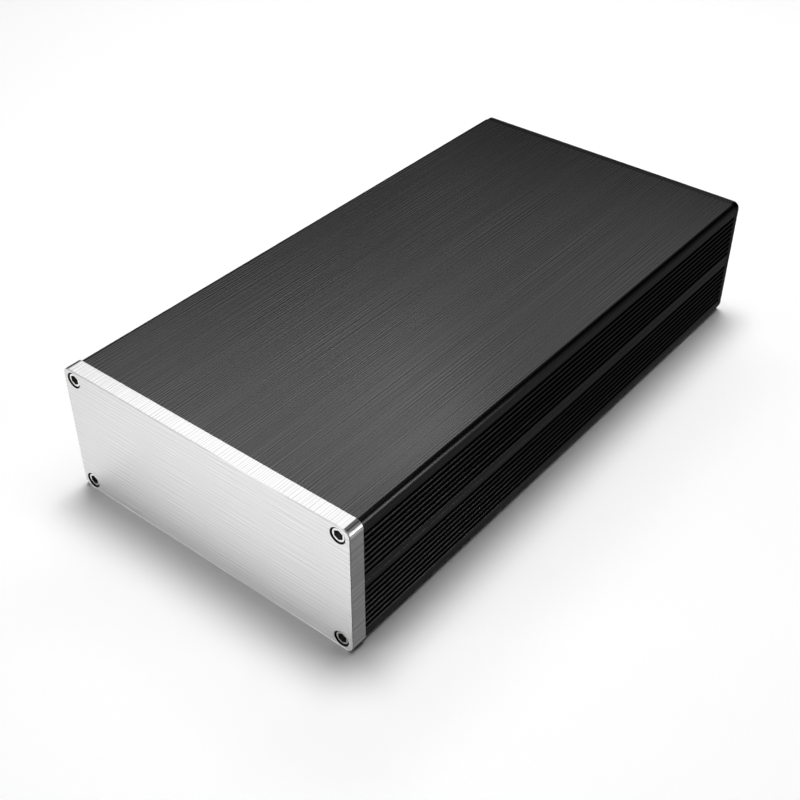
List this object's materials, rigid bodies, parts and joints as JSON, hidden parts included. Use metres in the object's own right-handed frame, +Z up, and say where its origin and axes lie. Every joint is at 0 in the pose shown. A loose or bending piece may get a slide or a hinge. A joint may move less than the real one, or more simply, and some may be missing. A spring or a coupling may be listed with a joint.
{
  "type": "aluminium enclosure",
  "caption": "Long low desktop case for circuit boards: ribbed black extruded half shells between a thick brushed front panel and a thinner rear plate, held by socket screws.",
  "frame": {"origin": "middle of the rectangle that the box covers on the table, at the height of the front panel's lower edge", "axes": "+X to the right as seen from the front, +Y from the front panel to the rear plate, +Z up"},
  "size_m": [0.168, 0.324, 0.07],
  "materials": {
    "front_panel": "brushed across the width, clear anodised",
    "shells": "brushed along the length, black anodised",
    "rear_plate": "satin, black anodised",
    "front_screws": "bright nickel plated steel",
    "rear_screws": "blackened steel"
  },
  "bodies": {
    "root": {"front_panel": "front_panel", "rear_plate": "rear_plate", "upper_shell": "shells", "lower_shell": "shells", "front_screw_upper_left": "front_screws", "front_screw_upper_right": "front_screws", "front_screw_lower_left": "front_screws", "front_screw_lower_right": "front_screws", "rear_screw_upper_left": "rear_screws", "rear_screw_upper_right": "rear_screws", "rear_screw_lower_left": "rear_screws", "rear_screw_lower_right": "rear_screws"}
  },
  "joints": []
}
